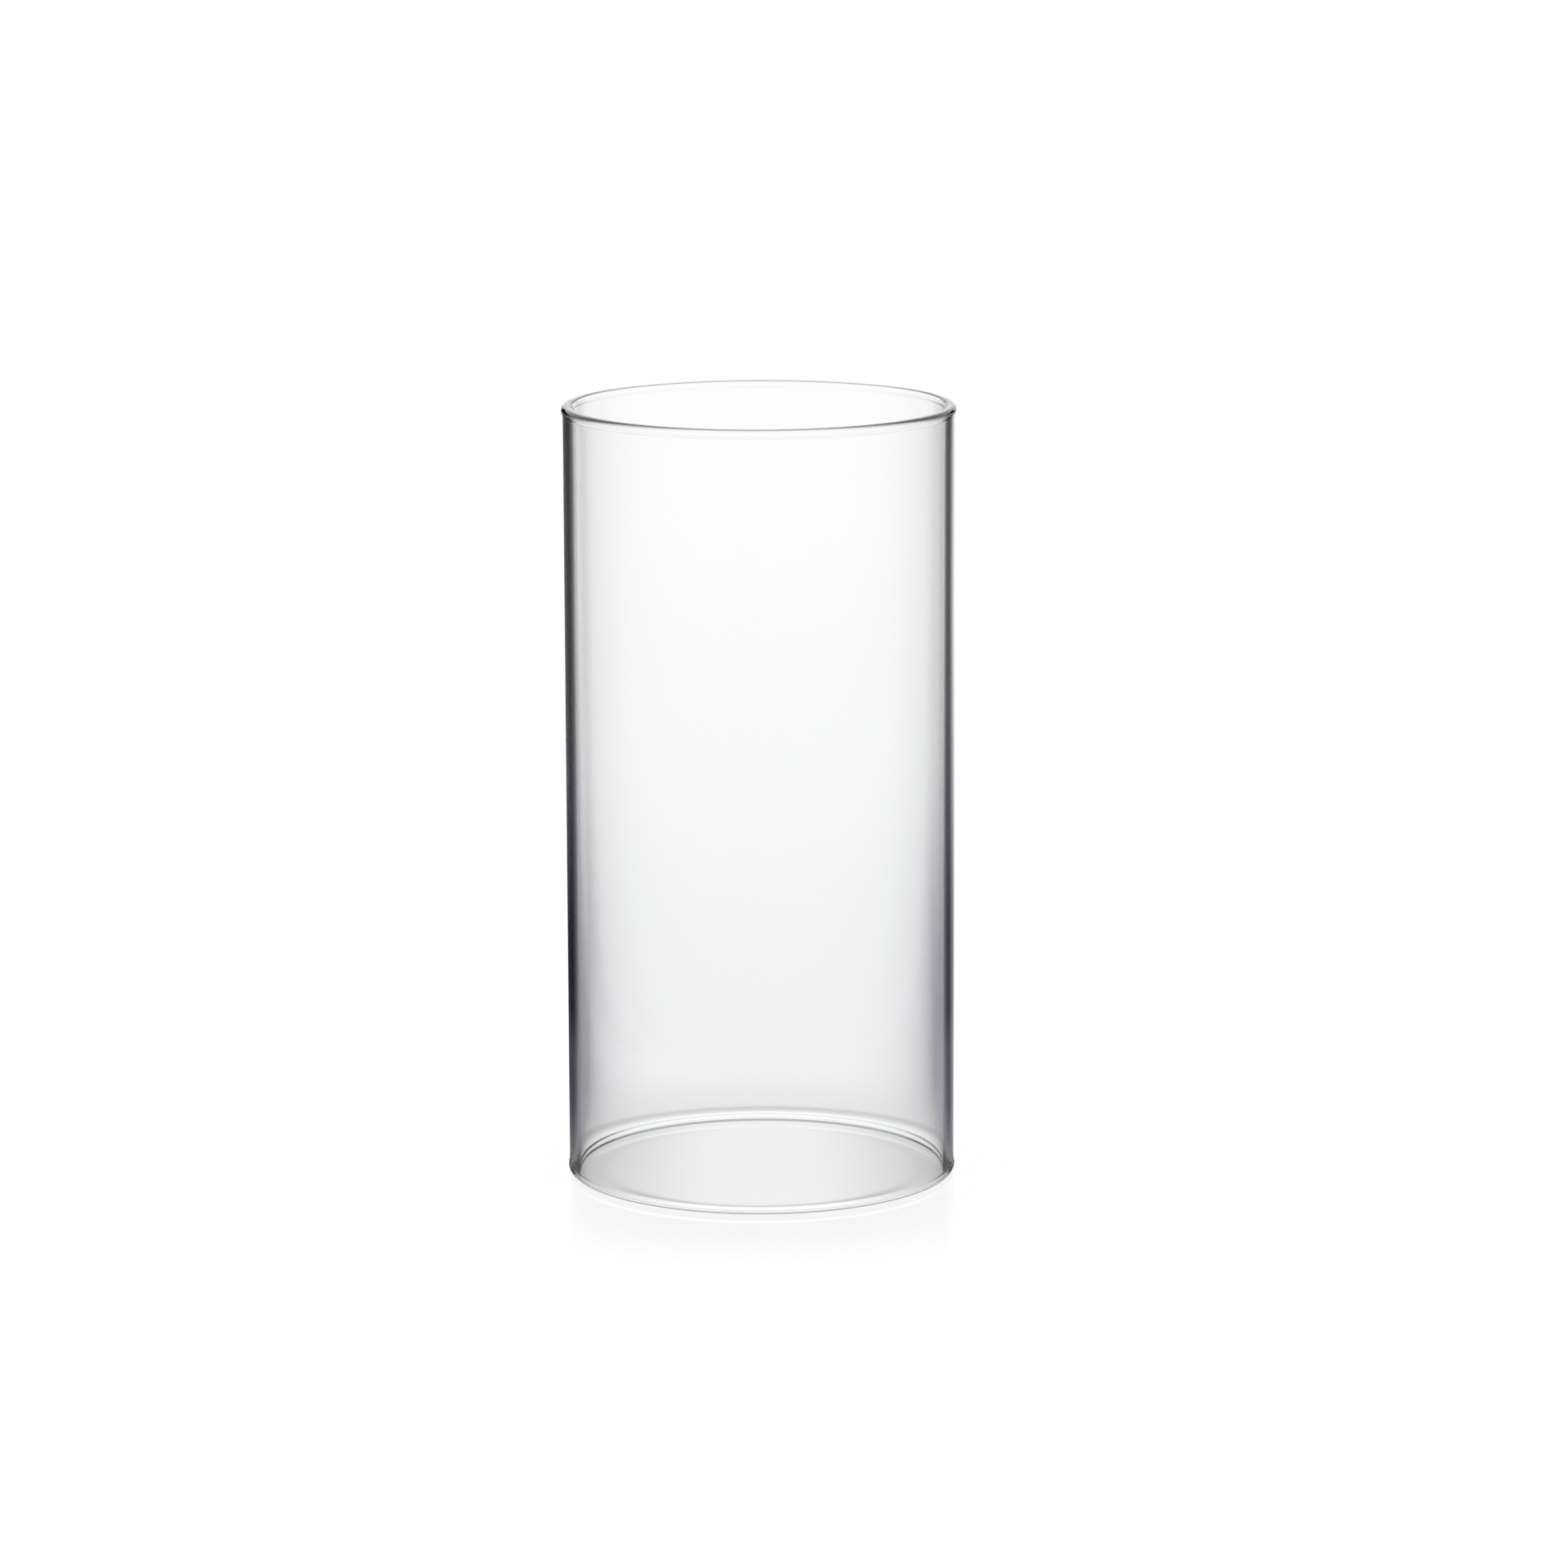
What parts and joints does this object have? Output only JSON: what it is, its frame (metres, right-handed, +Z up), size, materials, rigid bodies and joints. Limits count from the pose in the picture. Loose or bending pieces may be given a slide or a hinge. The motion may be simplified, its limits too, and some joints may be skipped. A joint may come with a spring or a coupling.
{
  "type": "glass cylinder vase",
  "caption": "Clear glass cylinder, open at both ends, with fire-polished, slightly swollen rims; stands upright as a vase sleeve or hurricane shade.",
  "frame": {"origin": "on the tube's axis, in the plane that the bottom rim stands on", "axes": "+Z up along the tube's axis, from the standing rim to the mouth; X and Y are free, as the part is round"},
  "size_m": [0.1008, 0.1008, 0.2],
  "materials": {
    "clear_glass": "clear, colourless, polished, with fire-polished rims"
  },
  "bodies": {
    "root": {"bottom_rim": "clear_glass", "tube_wall": "clear_glass", "top_rim": "clear_glass"}
  },
  "joints": []
}
